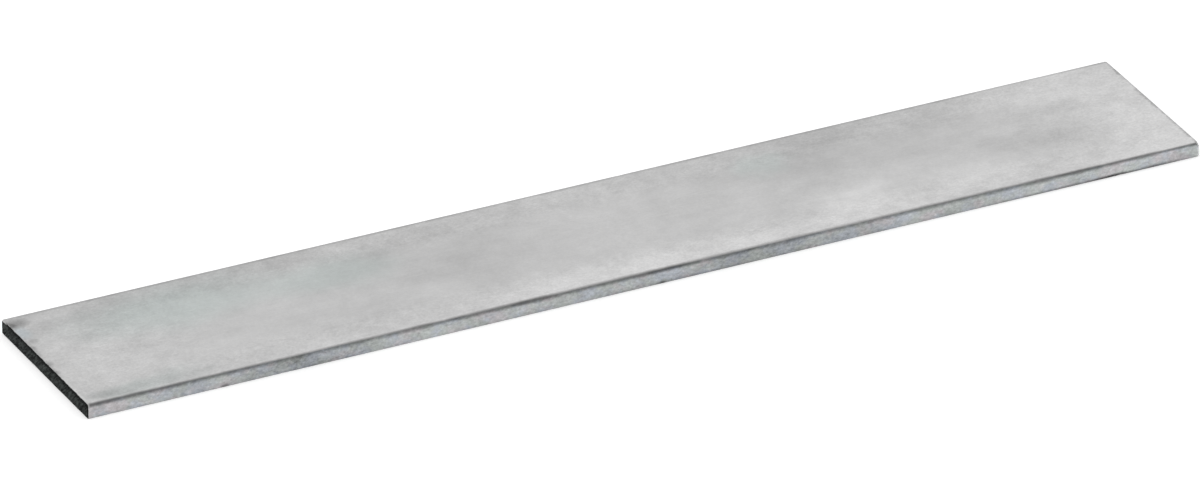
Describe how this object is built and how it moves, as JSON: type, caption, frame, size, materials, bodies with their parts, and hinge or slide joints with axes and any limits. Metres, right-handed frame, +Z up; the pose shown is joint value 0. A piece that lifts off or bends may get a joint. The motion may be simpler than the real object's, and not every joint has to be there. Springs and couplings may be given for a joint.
{
  "type": "aluminium flat bar",
  "caption": "Straight solid aluminium flat bar in mill finish, a thin rectangular strip with rounded long edges and square sawn ends, for cutting, drilling and framing.",
  "frame": {"origin": "centre of the bar's length and width, on its lower wide face", "axes": "+X along the bar's length, +Y across its width, +Z up through its thickness"},
  "size_m": [0.305, 0.05, 0.004],
  "materials": {
    "mill_aluminium": "mill finish, dull satin with faint lengthwise die lines, cloudy handling marks and darker sawn ends"
  },
  "bodies": {
    "root": {"flat_bar": "mill_aluminium"}
  },
  "joints": []
}
